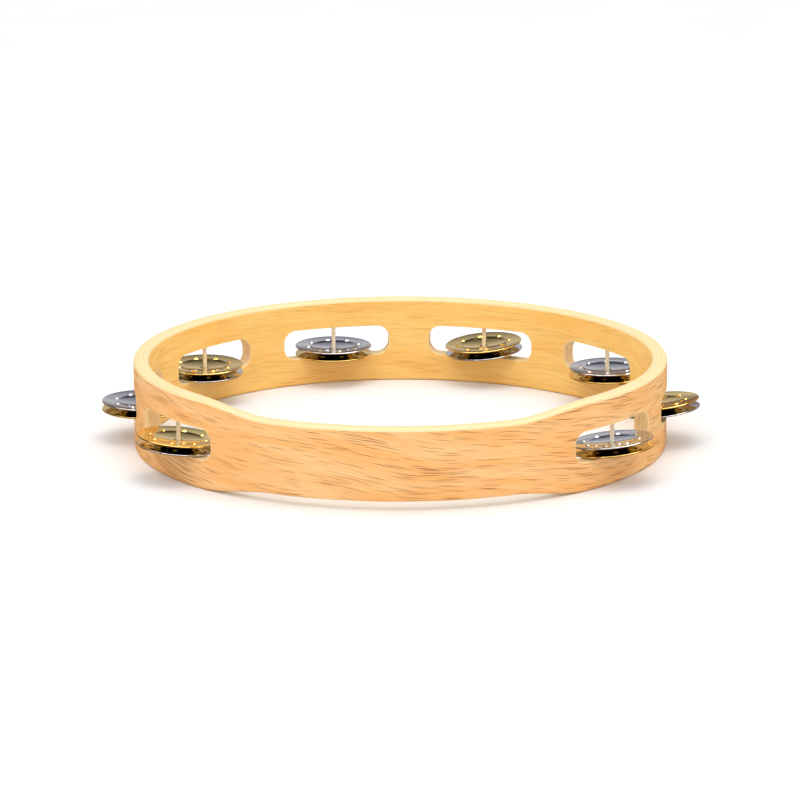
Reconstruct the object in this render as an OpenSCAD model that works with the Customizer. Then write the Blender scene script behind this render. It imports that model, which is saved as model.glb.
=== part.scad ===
// Hand tambourine without a drumhead: a bent wooden hoop of three plies, slimmed on one side to
// make a grip, with slots that each hold a pair of metal jingles on an upright steel pin.
// The origin is the hoop's centre on the plane that it rests on. +Z is up and the grip faces -Y.

/* [Hoop] */
// Outer diameter of the hoop
hoop_d = 254; // [220:1:310]
// Height of the hoop's wall, away from the grip
hoop_h = 42.3; // [36:0.1:52]
// Thickness of each of the three bent plies
ply_t = 2.4; // [2:0.1:3.2]
// Radius that rounds the hoop's inner and outer arrises
arris_r = 1.5; // [0.4:0.1:2]

/* [Grip] */
// Depth that the grip takes off each of the hoop's two edges
grip_cut = 4.2; // [2:0.1:6]
// Angle from the grip's middle to where its edges start to leave full depth
grip_flat_angle = 25.5; // [20:0.5:32]
// Angle over which an edge eases from full depth back to the hoop's own edge
grip_ease_angle = 19.5; // [12:0.5:24]

/* [Slots] */
// Angle between neighbouring slots
slot_pitch = 36; // [34:0.5:38]
// Length of a slot, end to end, in the middle of the wall
slot_len = 56.5; // [46:0.5:58]
// Height of a slot
slot_h = 14.4; // [12.5:0.1:20]
// Radius of a slot's corners
slot_corner_r = 6; // [3:0.1:6.2]

/* [Pins] */
// Diameter of a jingle pin's shank
pin_d = 2; // [1.6:0.1:2.2]
// How far a pin is driven into the wood beyond its slot
pin_bite = 7; // [4:0.5:9]
// Diameter of a pin's head
pin_head_d = 3.4; // [2.8:0.1:4.5]
// Thickness of a pin's head
pin_head_t = 0.8; // [0.5:0.1:1.2]

/* [Jingles] */
// Diameter of a jingle
jingle_d = 38.5; // [30:0.5:42]
// Overall height of one jingle, from its rim to its crown
jingle_h = 2.2; // [1.6:0.1:2.6]
// Thickness of the jingle's sheet metal
sheet_t = 0.5; // [0.4:0.05:0.7]
// Diameter of the flat raised plate in a jingle's middle
plate_d = 23; // [16:0.5:25]
// Height of the step around that plate
step_h = 0.35; // [0.2:0.05:0.5]
// Diameter of the hole in a jingle, which hangs loose on its pin
jingle_hole_d = 4; // [3.6:0.1:4.6]

/* [Fits] */
// Radial allowance around a pin in its bore
pin_fit = 0.02; // [0.01:0.01:0.05]
// Gap between a resting jingle and the slot's floor
floor_gap = 0.15; // [0.1:0.05:0.3]
// Gap between the crowns of the two jingles in a pair
pair_gap = 0.2; // [0.1:0.05:0.4]
// How far a pair has slid outward on its pin
outward_slip = 0.4; // [0:0.1:0.5]

/* [Hidden] */
$fn = 96;

// Each slot's place, in order around the hoop from beside the grip's left end to its right end.
SPOTS = ["left_front", "left", "left_back", "back_left", "back_right", "right_back", "right", "right_front"];
// How each pair has settled: degrees that its outer side is up, and that its clockwise end is up.
SETTLED = [[5, 2.5], [1, 0.5], [1, 1], [0, 0], [3.4, 4.5], [1, 1], [6.8, 2.2], [6.8, -1.6]];
// The metal of each pair's upper jingle. The lower one is of the other metal.
UPPER_IS_BRASS = [true, false, true, false, true, false, true, false];

STEEL = "SlateGray";
BRASS = "DarkKhaki";

hoop_r = hoop_d / 2;
wall_t = 3 * ply_t;
pin_circle_r = hoop_r - wall_t / 2;
slot_z = (hoop_h - slot_h) / 2;
// Angle from a slot's middle to where its round corners start.
corner_angle = asin(slot_len / 2 / norm([pin_circle_r, slot_corner_r]))
    - atan(slot_corner_r / pin_circle_r);
jingle_r = jingle_d / 2;
// Farthest in from a pair's middle that the curved wall comes under the jingle's rim.
wall_reach = pin_circle_r - sqrt(pow(hoop_r - wall_t, 2) - pow(jingle_r, 2)) + outward_slip;
plate_r = plate_d / 2;
// Half the grip's full-depth stretch, and the run of each S-curve, measured straight across.
grip_flat_x = hoop_r * sin(grip_flat_angle);
grip_ease_run = hoop_r * sin(grip_flat_angle + grip_ease_angle) - grip_flat_x;
// Straight facets in one S-curve.
EASE_STEPS = 12;
// The step around the plate slopes over this width.
step_run = 1;
// The flange rises this far between the rim and the step.
flange_rise = jingle_h - sheet_t - step_h;
// Straight facets that stand for the flange's curve, from the rim to the step.
FLANGE_STEPS = 8;
pair_h = 2 * jingle_h + pair_gap;
// A pin's head lies this far inside the hoop's lower edge.
head_inset = 0.2;
// Cutting shapes run past the faces that they cut by this much.
over = 1;

function azimuth(i) = (i - (len(SPOTS) - 1) / 2) * slot_pitch;

// Height that a settled pair's rim needs over the wall, because of its two tilts.
function tilt_rise(i) =
    jingle_r * sin(abs(SETTLED[i][1])) + wall_reach * sin(abs(SETTLED[i][0]));

// Height of a jingle's hollow face over its rim at radius r: a curved flange, a step and a plate.
function hollow_z(r) =
    r >= plate_r
        ? flange_rise * (1 - pow((r - plate_r) / (jingle_r - plate_r), 2))
        : flange_rise + step_h * min(1, (plate_r - r) / step_run);

// Places its children at a slot's pin: local +Y points outward and local +X clockwise.
module at_slot(i)
    rotate([0, 0, -azimuth(i)]) translate([0, pin_circle_r, 0]) children();

// Depth that the grip takes off an edge at distance x from its middle: full depth, then an S-curve.
function grip_depth(x) =
    x <= grip_flat_x ? grip_cut : grip_cut * (1 + cos(180 * (x - grip_flat_x) / grip_ease_run)) / 2;

// Everything that the grip takes off the front of the hoop's upper edge.
module grip_cut_above() {
    ease_right = [for (k = [0 : EASE_STEPS])
        let (x = grip_flat_x + grip_ease_run * k / EASE_STEPS) [x, -grip_depth(x)]];
    ease_left = [for (k = [EASE_STEPS : -1 : 0]) [-ease_right[k].x, ease_right[k].y]];
    end_x = grip_flat_x + grip_ease_run;
    translate([0, 0, hoop_h])
        rotate([90, 0, 0])
            linear_extrude(hoop_r + over)
                polygon(concat(ease_left, ease_right, [[end_x, over], [-end_x, over]]));
}

// One round-cornered end of a slot, square to the wall where its corners start.
module slot_end() {
    straight_h = slot_h - 2 * slot_corner_r;
    translate([0, hoop_r + over, slot_z + slot_h / 2])
        rotate([90, 0, 0])
            linear_extrude(wall_t + 2 * over) {
                translate([0, -straight_h / 2]) square([slot_corner_r, straight_h]);
                for (z = [-1, 1]) translate([0, z * straight_h / 2]) circle(slot_corner_r);
            }
}

// A slot's opening through the wall: a stretch that follows the hoop, between two round ends.
module slot_cut() {
    rotate([0, 0, 90 - corner_angle])
        rotate_extrude(angle = 2 * corner_angle)
            translate([hoop_r - wall_t - over, slot_z]) square([wall_t + 2 * over, slot_h]);
    rotate([0, 0, -corner_angle]) slot_end();
    mirror([1, 0, 0]) rotate([0, 0, -corner_angle]) slot_end();
}

// The bore and the head's recess that a pin leaves in the wood.
module pin_bore() {
    translate([0, 0, -over])
        cylinder(h = slot_z + slot_h + pin_bite + over, d = pin_d + 2 * pin_fit);
    translate([0, 0, -over])
        cylinder(h = over + head_inset + pin_head_t + pin_fit, d = pin_head_d + 2 * pin_fit);
}

// The section of the whole laminated wall, with its two outer arrises and two inner ones rounded.
module wall_section() {
    translate([hoop_r - wall_t, arris_r]) square([wall_t, hoop_h - 2 * arris_r]);
    translate([hoop_r - wall_t + arris_r, 0]) square([wall_t - 2 * arris_r, hoop_h]);
    for (x = [hoop_r - wall_t + arris_r, hoop_r - arris_r], z = [arris_r, hoop_h - arris_r])
        translate([x, z]) circle(arris_r);
}

// One ply of the hoop, counted from the outside, with its share of every cut.
module ply(layer) {
    difference() {
        rotate_extrude()
            intersection() {
                wall_section();
                translate([hoop_r - (layer + 1) * ply_t, 0]) square([ply_t, hoop_h]);
            }
        grip_cut_above();
        translate([0, 0, hoop_h]) mirror([0, 0, 1]) grip_cut_above();
        for (i = [0 : len(SPOTS) - 1]) {
            rotate([0, 0, -azimuth(i)]) slot_cut();
            at_slot(i) pin_bore();
        }
    }
}

module outer_ply() color("SandyBrown") ply(0);

module core_ply() color("BlanchedAlmond") ply(1);

module inner_ply() color("BurlyWood") ply(2);

// A jingle's pin: a headed nail driven up through the slot from the hoop's lower edge.
module jingle_pin(i)
    color("Silver")
        at_slot(i)
            translate([0, 0, head_inset]) {
                cylinder(h = pin_head_t, d = pin_head_d);
                cylinder(h = slot_z + slot_h + pin_bite - head_inset, d = pin_d);
            }

// One jingle, hollow side down, with its rim on z = 0.
module jingle() {
    flange = [for (k = [0 : FLANGE_STEPS]) jingle_r + (plate_r - jingle_r) * k / FLANGE_STEPS];
    radii = concat(flange, [plate_r - step_run, jingle_hole_d / 2]);
    last = len(radii) - 1;
    hollow_side = [for (r = radii) [r, hollow_z(r)]];
    crown_side = [for (k = [last : -1 : 0]) [radii[k], hollow_z(radii[k]) + sheet_t]];
    rotate_extrude() polygon(concat(hollow_side, crown_side));
}

// Places a settled pair's lower rim in its slot.
module at_rest(i)
    at_slot(i)
        translate([0, outward_slip, slot_z + floor_gap + tilt_rise(i)])
            rotate([SETTLED[i][0], -SETTLED[i][1], 0]) children();

module lower_jingle(i)
    color(UPPER_IS_BRASS[i] ? STEEL : BRASS) at_rest(i) jingle();

module upper_jingle(i)
    color(UPPER_IS_BRASS[i] ? BRASS : STEEL)
        at_rest(i) translate([0, 0, pair_h]) mirror([0, 0, 1]) jingle();

outer_ply();
core_ply();
inner_ply();
for (i = [0 : len(SPOTS) - 1]) {
    jingle_pin(i);
    lower_jingle(i);
    upper_jingle(i);
}
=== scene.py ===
"""A headless wooden tambourine: three bent plies, eight pins and eight pairs of loose metal jingles.

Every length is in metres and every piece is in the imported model's own frame: the hoop stands on z = 0
round the Z axis, and its grip faces -Y. An azimuth runs clockwise from +Y, seen from above.
"""

import math

import bmesh
import bpy
import numpy as np
from mathutils import Matrix, Vector
from mathutils.geometry import delaunay_2d_cdt


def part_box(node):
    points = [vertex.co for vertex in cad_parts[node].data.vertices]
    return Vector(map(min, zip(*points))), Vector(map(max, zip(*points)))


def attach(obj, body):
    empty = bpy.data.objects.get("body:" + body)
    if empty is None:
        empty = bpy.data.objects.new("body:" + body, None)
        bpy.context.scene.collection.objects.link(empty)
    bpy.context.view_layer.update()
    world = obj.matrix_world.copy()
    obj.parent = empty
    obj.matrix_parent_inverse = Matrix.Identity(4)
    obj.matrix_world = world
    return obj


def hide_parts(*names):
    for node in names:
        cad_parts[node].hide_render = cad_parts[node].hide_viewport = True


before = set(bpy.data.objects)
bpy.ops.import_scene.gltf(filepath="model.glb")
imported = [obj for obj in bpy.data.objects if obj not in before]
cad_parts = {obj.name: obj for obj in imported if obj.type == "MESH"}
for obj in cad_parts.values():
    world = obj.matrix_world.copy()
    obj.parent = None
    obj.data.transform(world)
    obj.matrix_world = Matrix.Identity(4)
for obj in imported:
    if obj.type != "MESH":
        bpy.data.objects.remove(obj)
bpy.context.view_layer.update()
MM = 0.001

# The hoop, as the CAD has it.
HOOP_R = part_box("outer_ply")[1].x
HOOP_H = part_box("outer_ply")[1].z
PLY_T = HOOP_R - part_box("core_ply")[1].x
WALL_T = 3 * PLY_T
MID_R = HOOP_R - WALL_T / 2
GRIP_CUT = 4.2 * MM
GRIP_FLAT_ANGLE = math.radians(25.5)
GRIP_EASE_ANGLE = math.radians(19.5)
GRIP_FLAT_X = HOOP_R * math.sin(GRIP_FLAT_ANGLE)
GRIP_EASE_RUN = HOOP_R * math.sin(GRIP_FLAT_ANGLE + GRIP_EASE_ANGLE) - GRIP_FLAT_X
SLOT_PITCH = 36
SLOT_LEN = 56.5 * MM
SLOT_H = 14.4 * MM
SLOT_CORNER_R = 6 * MM
SPOTS = ["left_front", "left", "left_back", "back_left", "back_right", "right_back", "right", "right_front"]
UPPER_IS_BRASS = [True, False, True, False, True, False, True, False]

# Rounding of the wood's edges: the hoop's arrises and the slots' rims.
RIM_EASE = 1.5 * MM
SLOT_EASE = 0.45 * MM
GLUE_GAP = 0.01 * MM

# Mesh fineness.
RIM_STEPS = 720
CORNER_STEPS = 10
SLOT_SIDE_STEPS = 22
EASE_RINGS = 5
BORDER = 0.6 * MM
FACE_GRID = 2.4 * MM
SLOPE_STEP = 1e-4
MERGE_GAP = 1e-6


def azimuth(i):
    return math.radians((i - (len(SPOTS) - 1) / 2) * SLOT_PITCH)


# ---------------------------------------------------------------- nodes of the materials

class Nodes:
    """A short way to write a material's node tree: each call adds a node and returns its output."""

    def __init__(self, name):
        self.material = bpy.data.materials.new(name)
        self.material.use_nodes = True
        self.tree = self.material.node_tree
        self.shader = self.tree.nodes["Principled BSDF"]

    def add(self, kind, inputs, output=0, **settings):
        node = self.tree.nodes.new(kind)
        for key, value in settings.items():
            setattr(node, key, value)
        for key, value in inputs.items():
            self.feed(node.inputs[key], value)
        return node.outputs[output]

    def feed(self, socket, value):
        if isinstance(value, bpy.types.NodeSocket):
            self.tree.links.new(value, socket)
        else:
            socket.default_value = value

    def math(self, operation, a, b=0.0, clamp=False):
        return self.add("ShaderNodeMath", {0: a, 1: b}, operation=operation, use_clamp=clamp)

    def remap(self, value, low, high, to_low=0.0, to_high=1.0):
        """Value carried smoothly from the range low to high, to the range to_low to to_high."""
        inputs = {"Value": value, "From Min": low, "From Max": high, "To Min": to_low, "To Max": to_high}
        return self.add("ShaderNodeMapRange", inputs, interpolation_type="SMOOTHSTEP")

    def mix(self, factor, a, b, blend="MIX"):
        node = self.tree.nodes.new("ShaderNodeMix")
        node.data_type = "RGBA"
        node.blend_type = blend
        self.feed(node.inputs["Factor"], factor)
        self.feed(node.inputs[6], a)
        self.feed(node.inputs[7], b)
        return node.outputs[2]

    def own_coordinates(self):
        return self.add("ShaderNodeTexCoord", {}, output="Object")

    def parts(self, vector):
        """A vector's X, Y and Z."""
        x = self.add("ShaderNodeSeparateXYZ", {"Vector": vector})
        return tuple(x.node.outputs)

    def level_radius(self, x, y):
        return self.math("SQRT", self.math("ADD", self.math("MULTIPLY", x, x), self.math("MULTIPLY", y, y)))

    def scaled(self, vector, along, across):
        """Vector with its level directions divided by one length and its Z by another."""
        inputs = {"Vector": vector, "Scale": (1 / along, 1 / along, 1 / across)}
        return self.add("ShaderNodeMapping", inputs)

    def noise(self, vector, detail=2.0, roughness=0.5, distortion=0.0, scale=1.0):
        inputs = {"Vector": vector, "Scale": scale, "Detail": detail, "Roughness": roughness,
                  "Distortion": distortion}
        return self.add("ShaderNodeTexNoise", inputs)

    def dashes(self, vector, size):
        """A full dash at each point of a random scatter, fading to nothing at a distance of size."""
        inputs = {"Vector": vector, "Scale": 1.0}
        away = self.add("ShaderNodeTexVoronoi", inputs)
        return self.math("SUBTRACT", 1.0, self.math("DIVIDE", away, size), clamp=True)

    def bump(self, height, distance, strength=1.0, onto=None):
        inputs = {"Height": height, "Distance": distance, "Strength": strength}
        if onto is not None:
            inputs["Normal"] = onto
        return self.add("ShaderNodeBump", inputs)

    def set(self, **values):
        """Puts values or links on the shader's sockets, whose names have spaces for underscores."""
        for key, value in values.items():
            self.feed(self.shader.inputs[key.replace("_", " ")], value)


def rgba(red, green, blue):
    return (red, green, blue, 1.0)


# ---------------------------------------------------------------- wood

def band_grain(n, slant):
    """Coordinates whose Z slants across and wanders a little, so that the grain runs in gentle waves."""
    own = n.own_coordinates()
    drift = n.noise(n.scaled(own, 80 * MM, 60 * MM), detail=1.0)
    rise = n.math("MULTIPLY", n.math("SUBTRACT", drift, 0.5), 14 * MM)
    slope = n.math("MULTIPLY", n.parts(own)[0], slant)
    lift = n.add("ShaderNodeCombineXYZ", {"Z": n.math("ADD", rise, slope)})
    return n.add("ShaderNodeVectorMath", {0: own, 1: lift}, operation="ADD")


def face_wood(name, slant, light, dark, streak, pore, pore_amount):
    """A lacquered face of open-pored pale hardwood, with its grain along the band."""
    n = Nodes(name)
    grain = band_grain(n, slant)
    figure = n.noise(n.scaled(grain, 55 * MM, 6 * MM), detail=3.0, roughness=0.6)
    fibre = n.noise(n.scaled(grain, 20 * MM, 0.7 * MM), detail=3.0, roughness=0.6)
    clumps = n.noise(n.scaled(grain, 40 * MM, 7 * MM), detail=1.0)
    size = n.remap(clumps, 0.3, 0.7, 0.2, 0.36)
    short_pores = n.dashes(n.scaled(grain, 22 * MM, 0.5 * MM), size)
    long_pores = n.dashes(n.scaled(grain, 40 * MM, 0.66 * MM), n.math("MULTIPLY", size, 0.8))
    pores = n.remap(n.math("MAXIMUM", short_pores, long_pores), 0.0, 0.5)
    colour = n.mix(n.remap(figure, 0.3, 0.7), light, dark)
    colour = n.mix(n.remap(fibre, 0.35, 0.75, 0.0, 0.5), colour, streak)
    colour = n.mix(n.remap(clumps, 0.5, 0.8, 0.0, 0.3), colour, streak)
    colour = n.mix(n.math("MULTIPLY", pores, pore_amount), colour, pore)
    height = n.math("SUBTRACT", n.math("MULTIPLY", fibre, 0.12), pores)
    n.set(Base_Color=colour, Roughness=n.remap(fibre, 0.2, 0.8, 0.34, 0.5), Coat_Weight=0.06,
          Coat_Roughness=0.22, Specular_IOR_Level=0.25, Normal=n.bump(height, 0.04 * MM))
    return n.material


def cut_wood(name, pale, cream, end_light, end_dark):
    """The cut edges of the plies: pale along the band, browner on end grain, with the two glue lines."""
    n = Nodes(name)
    own = n.own_coordinates()
    x, y, _ = n.parts(own)
    level = n.level_radius(x, y)
    layered = n.add("ShaderNodeCombineXYZ", {"X": x, "Y": y, "Z": level})
    fibre = n.noise(n.scaled(layered, 14 * MM, 0.45 * MM), detail=3.0, roughness=0.6)
    patch = n.noise(n.scaled(own, 24 * MM, 24 * MM), detail=2.0)
    normal_x, normal_y, _ = n.parts(n.add("ShaderNodeNewGeometry", {}, output="Normal"))
    cross = n.math("SUBTRACT", n.math("MULTIPLY", normal_x, y), n.math("MULTIPLY", normal_y, x))
    end_grain = n.remap(n.math("ABSOLUTE", n.math("DIVIDE", cross, level)), 0.5, 0.95)
    tubes = n.noise(n.scaled(own, 0.5 * MM, 9 * MM), detail=2.0, roughness=0.6)
    colour = n.mix(n.remap(fibre, 0.35, 0.7, 0.0, 0.5), pale, cream)
    end_colour = n.mix(n.remap(tubes, 0.4, 0.7, 0.0, 0.7), end_light, end_dark)
    colour = n.mix(end_grain, colour, end_colour)
    colour = n.mix(n.remap(patch, 0.4, 0.75, 0.0, 0.2), colour, cream)
    for ply in (1, 2):
        off = n.math("ABSOLUTE", n.math("SUBTRACT", level, HOOP_R - ply * PLY_T))
        line = n.remap(off, 0.05 * MM, 0.22 * MM, 0.4, 0.0)
        colour = n.mix(line, colour, rgba(0.66, 0.42, 0.18))
    height = n.math("ADD", fibre, n.math("MULTIPLY", tubes, end_grain))
    n.set(Base_Color=colour, Roughness=n.remap(fibre, 0.2, 0.8, 0.42, 0.6), Coat_Weight=0.15,
          Coat_Roughness=0.3, Normal=n.bump(height, 0.05 * MM))
    return n.material


# ---------------------------------------------------------------- metals

def polished_metal(name, tint, tarnish, roughness):
    """Spun sheet metal: faint turning lines, handling smudges and a little tarnish."""
    n = Nodes(name)
    own = n.own_coordinates()
    x, y, _ = n.parts(own)
    turning = {"W": n.math("DIVIDE", n.level_radius(x, y), 0.22 * MM), "Detail": 3.0, "Scale": 1.0}
    rings = n.add("ShaderNodeTexNoise", turning, noise_dimensions="1D")
    where = n.add("ShaderNodeObjectInfo", {}, output="Location")
    here = n.add("ShaderNodeVectorMath", {0: own, 1: where}, operation="ADD")
    smudge = n.noise(n.scaled(here, 6 * MM, 6 * MM), detail=4.0, roughness=0.65)
    specks = n.noise(n.scaled(here, 0.9 * MM, 0.9 * MM), detail=2.0)
    colour = n.mix(n.remap(smudge, 0.42, 0.75, 0.0, 0.55), tint, tarnish)
    colour = n.mix(n.remap(specks, 0.66, 0.78, 0.0, 0.45), colour, tarnish)
    height = n.math("ADD", rings, n.math("MULTIPLY", smudge, 2.0))
    n.set(Base_Color=colour, Metallic=1.0, Normal=n.bump(height, 0.003 * MM),
          Roughness=n.remap(smudge, 0.3, 0.8, roughness, roughness + 0.12))
    return n.material


def drawn_steel(name):
    """Drawn wire: fine lines along the shank, dulled in patches. Its gold and cream tint is a painted
    reflection of the wood round it.
    """
    n = Nodes(name)
    own = n.own_coordinates()
    lines = n.noise(n.scaled(own, 0.12 * MM, 9 * MM), detail=2.0)
    dull = n.noise(n.scaled(own, 2.5 * MM, 3 * MM), detail=3.0)
    # Painted reflection: the steel is tinted gold and cream for the wood it mirrors, and a darker gold
    # where it is dulled.
    colour = n.mix(n.remap(dull, 0.4, 0.7, 0.0, 0.6), rgba(0.99, 0.94, 0.80), rgba(0.86, 0.76, 0.55))
    n.set(Base_Color=colour, Metallic=0.45, Roughness=n.remap(dull, 0.3, 0.7, 0.14, 0.28),
          Normal=n.bump(lines, 0.008 * MM))
    return n.material


OUTER_FACE = face_wood("outer_face_wood", 0.10, rgba(0.94, 0.585, 0.27), rgba(0.92, 0.48, 0.165),
                       rgba(0.85, 0.36, 0.08), rgba(0.34, 0.10, 0.018), 0.9)
INNER_FACE = face_wood("inner_face_wood", 0.01, rgba(0.98, 0.65, 0.22), rgba(0.96, 0.56, 0.15),
                       rgba(0.88, 0.45, 0.10), rgba(0.46, 0.18, 0.035), 0.4)
CUT_EDGE = cut_wood("cut_edge_wood", rgba(0.93, 0.73, 0.40), rgba(0.91, 0.65, 0.29),
                    rgba(0.93, 0.66, 0.34), rgba(0.70, 0.36, 0.12))
STEEL = polished_metal("jingle_steel", rgba(0.72, 0.73, 0.78), rgba(0.52, 0.51, 0.53), 0.04)
BRASS = polished_metal("jingle_brass", rgba(0.98, 0.71, 0.23), rgba(0.80, 0.52, 0.14), 0.04)
PIN_STEEL = drawn_steel("pin_steel")


# ---------------------------------------------------------------- meshes

def add_piece(name, mesh, materials, body, node, place=Matrix()):
    """Links a finished mesh as the piece that stands for a CAD node and moves with its body."""
    piece = bpy.data.objects.new(name, mesh)
    bpy.context.scene.collection.objects.link(piece)
    piece.matrix_world = place
    for material in materials:
        mesh.materials.append(material)
    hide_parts(node)
    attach(piece, body)
    return piece


def finished_mesh(name, bm, sharp):
    """The mesh of a closed shape, smooth but for edges sharper than an angle in degrees."""
    bmesh.ops.recalc_face_normals(bm, faces=bm.faces)
    mesh = bpy.data.meshes.new(name)
    bm.to_mesh(mesh)
    bm.free()
    mesh.shade_smooth()
    mesh.set_sharp_from_angle(angle=math.radians(sharp))
    return mesh


def at(radius, angle, z):
    return (radius * math.sin(angle), radius * math.cos(angle), z)


def grip_depth(x):
    """How far the grip lowers an edge at distance x from its middle: full depth, then an S-curve."""
    share = min(max((x - GRIP_FLAT_X) / GRIP_EASE_RUN, 0.0), 1.0)
    return GRIP_CUT * (1 + math.cos(math.pi * share)) / 2


def edge_drop(angle, radius):
    """The grip's depth at an azimuth. Only the front half of the hoop has it."""
    return grip_depth(abs(radius * math.sin(angle))) if math.cos(angle) < 0 else 0.0


def slot_outline(i):
    """A slot's outline at the middle of the wall: distance along, height, and the way into the slot."""
    start = azimuth(i) * MID_R
    half_l, half_h = SLOT_LEN / 2 - SLOT_CORNER_R, SLOT_H / 2 - SLOT_CORNER_R
    points = []
    for quarter, (sx, sz) in enumerate([(1, 1), (-1, 1), (-1, -1), (1, -1)]):
        for k in range(CORNER_STEPS + 1):
            turn = math.pi / 2 * (quarter + k / CORNER_STEPS)
            out = (math.cos(turn), math.sin(turn))
            x, z = sx * half_l + SLOT_CORNER_R * out[0], sz * half_h + SLOT_CORNER_R * out[1]
            points.append((x, z, out))
        if quarter in (0, 2):
            x0, z0, out = points[-1]
            run = -2 * half_l * sx
            points += [(x0 + run * k / SLOT_SIDE_STEPS, z0, out) for k in range(1, SLOT_SIDE_STEPS)]
    return [(start + x, HOOP_H / 2 + z, (-out[0], -out[1])) for x, z, out in points]


def rim_outline(top, radius):
    """The hoop's upper or lower edge, unrolled, for the ply surface at this radius."""
    points = []
    for k in range(RIM_STEPS + 1):
        angle = -math.pi + 2 * math.pi * k / RIM_STEPS
        drop = edge_drop(angle, radius)
        change = edge_drop(angle + SLOPE_STEP, radius) - edge_drop(angle - SLOPE_STEP, radius)
        slope = change / (2 * SLOPE_STEP * MID_R)
        length = math.hypot(1.0, slope)
        if top:
            points.append((angle * MID_R, HOOP_H - drop, (slope / length, 1 / length)))
        else:
            points.append((angle * MID_R, drop, (slope / length, -1 / length)))
    return points


def inset(outline, amount):
    return [(s - n[0] * amount, z - n[1] * amount) for s, z, n in outline]


def inside_any_slot(s, z, margin):
    """True within a slot, or within margin of it."""
    half_l, half_h = SLOT_LEN / 2 - SLOT_CORNER_R, SLOT_H / 2 - SLOT_CORNER_R
    for i in range(len(SPOTS)):
        dx = max(abs(s - azimuth(i) * MID_R) - half_l, 0.0)
        dz = max(abs(z - HOOP_H / 2) - half_h, 0.0)
        if math.hypot(dx, dz) < SLOT_CORNER_R + margin:
            return True
    return False


def sheet_triangles(top, bottom, holes, grown, grid):
    """Triangles of the unrolled band between its two edges, less its holes: slots grown a little.

    Returns the points and the triangles."""
    points, edges = [], []

    def chain(line, closed):
        first = len(points)
        points.extend(line)
        count = len(line)
        edges.extend((first + k, first + k + 1) for k in range(count - 1))
        if closed:
            edges.append((first + count - 1, first))

    chain(top, False)
    chain(bottom, False)
    for hole in holes:
        chain(hole, True)
    count = len(top)
    edges += [(0, count), (count - 1, 2 * count - 1)]
    left, right = top[0][0], top[-1][0]
    columns = round((right - left) / grid)
    high = [z for _, z in top]
    low = [z for _, z in bottom]
    for c in range(1, columns):
        s = left + (right - left) * c / columns
        k = round((s - left) / (right - left) * (count - 1))
        rows = max(2, round((high[k] - low[k]) / grid))
        for r in range(1, rows):
            z = low[k] + (high[k] - low[k]) * (r + (0.25 if c % 2 else -0.25)) / rows
            if not inside_any_slot(s, z, grid * 0.6):
                points.append((s, z))
    flat = [Vector(p) for p in points]
    made, _, triangles, _, _, _ = delaunay_2d_cdt(flat, edges, [], 1, 1e-7)
    kept = []
    for tri in triangles:
        s = sum(made[v].x for v in tri) / 3
        z = sum(made[v].y for v in tri) / 3
        k = min(max(round((s - left) / (right - left) * (count - 1)), 0), count - 1)
        if low[k] - MERGE_GAP < z < high[k] + MERGE_GAP and not inside_any_slot(s, z, grown):
            kept.append(tri)
    return made, kept


def edge_profile(ease_r, depth):
    """From a face's flat border, round its edge, to the back: how far into the wood, and how far down."""
    turns = [math.pi / 2 * k / (EASE_RINGS - 1) for k in range(EASE_RINGS)] if ease_r else [math.pi / 2]
    rounded = [(ease_r * (1 - math.sin(t)), ease_r * (1 - math.cos(t))) for t in turns]
    return [(ease_r + BORDER, 0.0)] + rounded + [(0.0, depth)]


def ply_mesh(name, face_r, back_r, rim_ease, slot_ease):
    """A ply from its face at one radius to its back at another, with the face's edges rounded."""
    bm = bmesh.new()
    outward = 1 if face_r > back_r else -1
    depth = abs(face_r - back_r)

    def vertex(s, z, down):
        return bm.verts.new(at(face_r - outward * down, s / MID_R, z))

    def wall(levels, closed, wooded):
        """Quads from each ring of an edge to the next: in the face's wood first, then in the cut wood's."""
        rows = [[vertex(s, z, down) for s, z in line] for line, down in levels]
        count = len(rows[0])
        for level, (a, b) in enumerate(zip(rows, rows[1:])):
            for k in range(count if closed else count - 1):
                m = (k + 1) % count
                face = bm.faces.new((a[k], a[m], b[m], b[k]))
                face.material_index = 0 if level < wooded else 1

    rim = edge_profile(rim_ease, depth)
    tops = [(inset(rim_outline(True, face_r - outward * down), into), down) for into, down in rim]
    bottoms = [(inset(rim_outline(False, face_r - outward * down), into), down) for into, down in rim]
    edge = edge_profile(slot_ease, depth)
    holes = [[(inset(slot_outline(i), into), down) for into, down in edge] for i in range(len(SPOTS))]
    wall(tops, False, 1)
    wall(bottoms, False, len(rim) - 2)
    for hole in holes:
        wall(hole, True, 1)
    for which, grown, grid in ((0, edge[0][0], FACE_GRID), (-1, 0.0, 3 * FACE_GRID)):
        lines = [tops[which][0], bottoms[which][0], [hole[which][0] for hole in holes]]
        made, triangles = sheet_triangles(*lines, grown, grid)
        verts = [vertex(p.x, p.y, edge[which][1]) for p in made]
        for tri in triangles:
            bm.faces.new([verts[v] for v in tri])
    bmesh.ops.remove_doubles(bm, verts=bm.verts, dist=MERGE_GAP)
    return finished_mesh(name, bm, 40)


def make_hoop():
    plies = [("outer_ply", HOOP_R, PLY_T, OUTER_FACE, "face_veneer"),
             ("inner_ply", HOOP_R - WALL_T, -PLY_T, INNER_FACE, "lining_veneer")]
    for node, face_r, deep, wood, slot in plies:
        back_r = face_r - deep + math.copysign(GLUE_GAP, deep)
        mesh = ply_mesh(node + "_wood", face_r, back_r, RIM_EASE, SLOT_EASE)
        add_piece(node + "_wood", mesh, [wood, CUT_EDGE], "hoop", node)
    mesh = ply_mesh("core_ply_wood", HOOP_R - PLY_T, HOOP_R - 2 * PLY_T, 0, 0)
    add_piece("core_ply_wood", mesh, [CUT_EDGE, CUT_EDGE], "hoop", "core_ply")


# ---------------------------------------------------------------- jingles and pins

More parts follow.
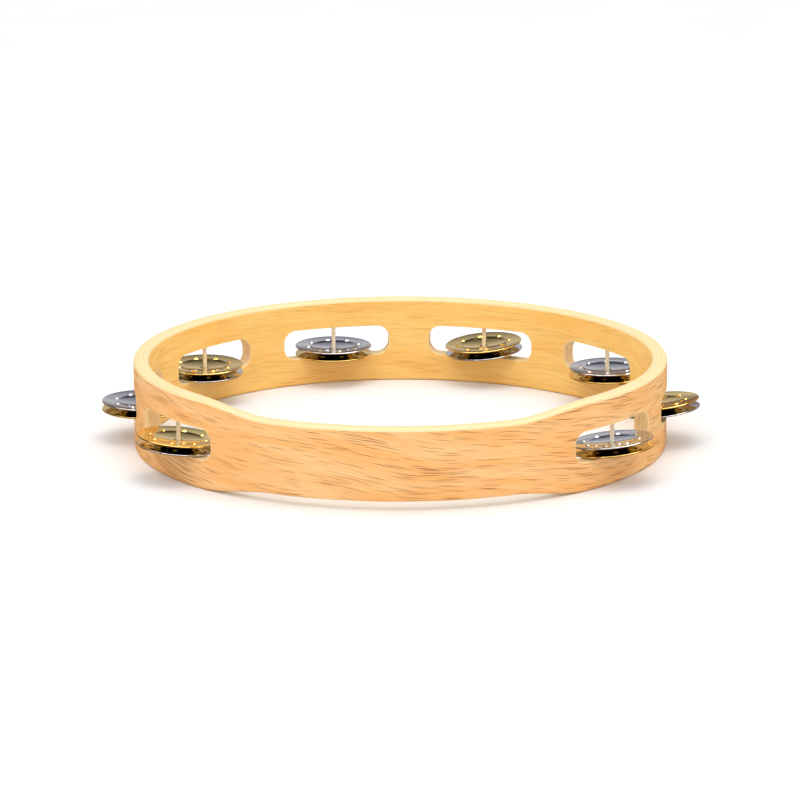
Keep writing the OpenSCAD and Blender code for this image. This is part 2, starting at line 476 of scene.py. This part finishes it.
SHEET_T = 0.5 * MM
PLATE_R = 11.5 * MM
STEP_RUN = 2.4 * MM
PLATE_DISH = 0.9 * MM
BEAD_R = 0.36 * MM
STEP_H = 0.35 * MM
HOLE_R = 2 * MM
DIMPLES = 8
TURN_PER_SPOT = 1.7
TURN_PER_LEVEL = 0.9
DIMPLE_RING_R = 13.0 * MM
DIMPLE_R = 1.2 * MM
DIMPLE_DEPTH = 0.6 * MM


def seat_of(node):
    """Where a CAD jingle lies: its rim's centre, with +Z towards its crown. Also its radius and height."""
    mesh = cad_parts[node].data
    points = np.empty(3 * len(mesh.vertices))
    mesh.vertices.foreach_get("co", points)
    points = points.reshape(-1, 3)
    middle = (points.min(0) + points.max(0)) / 2
    axis = np.linalg.svd(points - middle, full_matrices=False)[2][2]
    along = (points - middle) @ axis
    radius = np.linalg.norm(points - middle - np.outer(along, axis), axis=1)
    rim = radius > radius.max() * 0.97
    hub = radius < radius.max() * 0.4
    if along[hub].mean() < along[rim].mean():
        axis, along = -axis, -along
    foot = middle + axis * along.min()
    up = Vector(axis)
    side = Vector((1, 0, 0)) - up * up.x
    side.normalize()
    turn = Matrix((side, up.cross(side), up)).transposed()
    return Matrix.Translation(foot) @ turn.to_4x4(), radius.max(), along.max() - along.min()


def spread(start, end, count):
    """Evenly spaced values from start up to, but not including, end."""
    return [start + (end - start) * k / count for k in range(count)]


def ease(share):
    share = min(max(share, 0.0), 1.0)
    return share * share * (3 - 2 * share)


def jingle_mesh(name, rim_r, height, first):
    """A dished, dimpled jingle, hollow side down, lathed from its sheet's section.

    Its first dimple is at the angle first."""
    rise = height - SHEET_T - STEP_H

    def hollow(r):
        slope = max(r - PLATE_R, 0) / (rim_r - PLATE_R)
        dish = PLATE_DISH * min(r / PLATE_R, 1) ** 2
        step = STEP_H * ease((PLATE_R - r) / STEP_RUN + 0.5)
        return rise * (1 - slope ** 2) + step - dish * (1 - slope ** 2)

    def dent(r, turn):
        """How far the nearest of the ring of punched dimples pushes the sheet."""
        step = 2 * math.pi / DIMPLES
        near = (turn + step / 2) % step - step / 2
        off = math.hypot(r * math.cos(near) - DIMPLE_RING_R, r * math.sin(near) * 0.8)
        return -DIMPLE_DEPTH * max(0.0, 1 - (off / DIMPLE_R) ** 2)

    bead = rim_r - BEAD_R
    outer = bead - BEAD_R * 0.8
    inner_edge, outer_edge = DIMPLE_RING_R - 1.2 * DIMPLE_R, DIMPLE_RING_R + 1.2 * DIMPLE_R
    radii = spread(HOLE_R, inner_edge, 14) + spread(inner_edge, outer_edge, 14)
    radii += spread(outer_edge, outer, 9) + [outer]
    section = [(r, hollow(r), True) for r in radii]
    section += [(bead + BEAD_R * math.sin(t), BEAD_R - BEAD_R * math.cos(t), False)
                for t in (math.pi * k / 8 for k in range(0, 8))]
    section += [(r, hollow(r) + SHEET_T, True) for r in reversed(radii)]
    reach = 1.6 * DIMPLE_R / DIMPLE_RING_R
    turns = []
    for k in range(DIMPLES):
        start = 2 * math.pi * k / DIMPLES
        turns += spread(start - reach, start + reach, 12)
        turns += spread(start + reach, start + 2 * math.pi / DIMPLES - reach, 8)
    bm = bmesh.new()
    columns = []
    for turn in turns:
        x, y = math.cos(first + turn), math.sin(first + turn)
        column = [(r * x, r * y, z + (dent(r, turn) if dented else 0)) for r, z, dented in section]
        columns.append([bm.verts.new(point) for point in column])
    count = len(section)
    for a, b in zip(columns, columns[1:] + columns[:1]):
        for k in range(count):
            m = (k + 1) % count
            bm.faces.new((a[k], a[m], b[m], b[k]))
    return finished_mesh(name, bm, 50)


def make_jingles():
    for i, spot in enumerate(SPOTS):
        for k, level in enumerate(("lower", "upper")):
            node = f"{spot}_{level}_jingle"
            seat, rim_r, height = seat_of(node)
            brass = UPPER_IS_BRASS[i] == (level == "upper")
            mesh = jingle_mesh(node + "_sheet", rim_r, height, TURN_PER_SPOT * i + TURN_PER_LEVEL * k)
            metal, slot = (BRASS, "jingle_brass") if brass else (STEEL, "jingle_steel")
            add_piece(node + "_sheet", mesh, [metal], f"{spot}_{level}", node, seat)


def lathe(name, section, segments):
    """A closed turned piece from its section, whose first and last points are on the Z axis."""
    bm = bmesh.new()
    rows = []
    for r, z in section:
        ring = 1 if r == 0 else segments
        turns = [2 * math.pi * c / segments for c in range(ring)]
        rows.append([bm.verts.new((r * math.cos(turn), r * math.sin(turn), z)) for turn in turns])
    for a, b in zip(rows, rows[1:]):
        for c in range(segments):
            m = (c + 1) % segments
            quad = [a[c % len(a)], a[m % len(a)], b[m % len(b)], b[c % len(b)]]
            bm.faces.new(list(dict.fromkeys(quad)))
    return finished_mesh(name, bm, 40)


PIN_R = 1 * MM
PIN_HEAD_T = 0.8 * MM
PIN_SOFT = 0.15 * MM
PIN_TIP = 1.6 * MM


def pin_section(head_r, tall):
    """A headed nail's section, from its head up: a softened head, the shank and a blunt point."""
    head = [(0, 0), (head_r - 2 * PIN_SOFT, 0), (head_r - PIN_SOFT / 2, PIN_SOFT / 3), (head_r, PIN_SOFT)]
    head += [(head_r, PIN_HEAD_T - PIN_SOFT), (head_r - PIN_SOFT, PIN_HEAD_T)]
    shank = [(PIN_R + PIN_SOFT, PIN_HEAD_T), (PIN_R, PIN_HEAD_T + PIN_SOFT), (PIN_R, tall - PIN_TIP)]
    return head + shank + [(PIN_R * 0.4, tall - PIN_TIP / 4), (0, tall)]


def make_pins():
    """Headed nails, driven up from the hoop's lower edge."""
    for i, spot in enumerate(SPOTS):
        low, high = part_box(spot + "_pin")
        section = pin_section((high.x - low.x) / 2, high.z - low.z)
        mesh = lathe(spot + "_pin_wire", section, 32)
        place = Matrix.Translation(at(MID_R, azimuth(i), low.z))
        add_piece(spot + "_pin_wire", mesh, [PIN_STEEL], "hoop", spot + "_pin", place)


# ---------------------------------------------------------------- studio

def make_floor():
    """A pale studio floor, faintly mottled, wide enough to fill the view. To glossy rays it is a dim warm
    brown instead: a painted reflection, so metal mirrors it dim and warm.
    """
    bpy.ops.mesh.primitive_plane_add(size=9)
    floor = bpy.context.object
    floor.name = "floor"
    n = Nodes("floor_paper_and_painted_reflection")
    own = n.own_coordinates()
    mottle = n.noise(n.scaled(own, 90 * MM, 90 * MM), detail=3.0)
    tooth = n.noise(n.scaled(own, 0.7 * MM, 0.7 * MM), detail=2.0)
    paper = n.mix(n.remap(mottle, 0.3, 0.7), rgba(0.93, 0.93, 0.93), rgba(0.90, 0.90, 0.90))
    # Painted reflection: glossy rays see a dim warm brown here in place of the pale paper.
    painted_reflection_ray = n.add("ShaderNodeLightPath", {}, output="Is Glossy Ray")
    n.set(Base_Color=n.mix(painted_reflection_ray, paper, rgba(0.24, 0.15, 0.07)), Roughness=0.9,
          Specular_IOR_Level=0.1, Normal=n.bump(tooth, 0.02 * MM))
    floor.data.materials.append(n.material)


def area_light(name, place, target, size, power, colour=(1, 1, 1)):
    data = bpy.data.lights.new(name, "AREA")
    data.shape = "RECTANGLE"
    data.size, data.size_y = size
    data.energy = power
    data.color = colour
    lamp = bpy.data.objects.new(name, data)
    bpy.context.scene.collection.objects.link(lamp)
    lamp.location = place
    lamp.rotation_euler = (Vector(target) - Vector(place)).to_track_quat("-Z", "Y").to_euler()
    return lamp


def make_lights():
    middle = (0, 0, HOOP_H / 2)
    area_light("key_softbox", (-0.9, -1.3, 1.7), middle, (0.5, 0.4), 4)
    area_light("fill_softbox", (1.5, -1.3, 1.2), middle, (1.4, 1.2), 2.5)
    area_light("top_softbox", (0.1, -0.1, 1.7), middle, (1.3, 0.9), 7.6)


def make_world():
    """A bright tent for the light that falls on things, and a dimmer room for what metal mirrors."""
    world = bpy.data.worlds.new("studio")
    bpy.context.scene.world = world
    world.use_nodes = True
    tree = world.node_tree
    where = tree.nodes.new("ShaderNodeTexCoord")
    split = tree.nodes.new("ShaderNodeSeparateXYZ")
    ramp = tree.nodes.new("ShaderNodeValToRGB")
    tree.links.new(where.outputs["Generated"], split.inputs[0])
    tree.links.new(split.outputs["Z"], ramp.inputs[0])
    ramp.color_ramp.elements[0].color = rgba(0.40, 0.19, 0.05)
    ramp.color_ramp.elements[1].color = rgba(0.30, 0.30, 0.31)
    stops = ((0.07, rgba(0.34, 0.16, 0.05)), (0.14, rgba(0.16, 0.13, 0.12)), (0.25, rgba(0.68, 0.66, 0.66)),
             (0.34, rgba(0.44, 0.44, 0.48)), (0.48, rgba(0.20, 0.21, 0.24)), (0.58, rgba(0.06, 0.06, 0.07)),
             (0.74, rgba(0.08, 0.08, 0.09)), (0.83, rgba(7.0, 6.8, 6.4)), (0.94, rgba(0.3, 0.3, 0.3)))
    for place, colour in stops:
        ramp.color_ramp.elements.new(place).color = colour
    side = tree.nodes.new("ShaderNodeMapRange")
    tree.links.new(split.outputs["X"], side.inputs["Value"])
    for key, value in {"From Min": -0.5, "From Max": 0.5, "To Min": 0.6, "To Max": 1.35}.items():
        side.inputs[key].default_value = value
    room, tent = tree.nodes["Background"], tree.nodes.new("ShaderNodeBackground")
    tree.links.new(ramp.outputs[0], room.inputs["Color"])
    tree.links.new(side.outputs[0], room.inputs["Strength"])
    tent.inputs["Color"].default_value = rgba(1.0, 1.0, 1.0)
    tent.inputs["Strength"].default_value = 0.98
    ray = tree.nodes.new("ShaderNodeLightPath")
    choice = tree.nodes.new("ShaderNodeMixShader")
    tree.links.new(ray.outputs["Is Glossy Ray"], choice.inputs[0])
    tree.links.new(tent.outputs[0], choice.inputs[1])
    tree.links.new(room.outputs[0], choice.inputs[2])
    tree.links.new(choice.outputs[0], tree.nodes["World Output"].inputs["Surface"])


# The camera's angles, and its distance and aim in hoop radii.
LENS_PER_WIDTH = 4.905
CAMERA_LIFT = math.radians(14.11)
CAMERA_SWING = math.radians(2.1)
CAMERA_ROLL = math.radians(-0.18)
CAMERA_AWAY = 14.77
CAMERA_AIM = (-0.0016, 0, 0.154)


def make_camera():
    """A long lens a little above the hoop, turned a touch off the grip's middle."""
    data = bpy.data.cameras.new("camera")
    data.sensor_width = 36
    data.lens = LENS_PER_WIDTH * data.sensor_width
    camera = bpy.data.objects.new("camera", data)
    bpy.context.scene.collection.objects.link(camera)
    bpy.context.scene.camera = camera
    lift, swing, roll = CAMERA_LIFT, CAMERA_SWING, CAMERA_ROLL
    aim = Vector(CAMERA_AIM) * HOOP_R
    back = Vector((math.sin(swing) * math.cos(lift), -math.cos(swing) * math.cos(lift), math.sin(lift)))
    camera.location = aim + back * CAMERA_AWAY * HOOP_R
    look = (-back).to_track_quat("-Z", "Y").to_matrix() @ Matrix.Rotation(roll, 3, "Z")
    camera.rotation_euler = look.to_euler()
    data.clip_start, data.clip_end = 0.05, 30


make_hoop()
make_jingles()
make_pins()
make_floor()
make_lights()
make_world()
make_camera()
bpy.context.scene.view_settings.view_transform = "Standard"
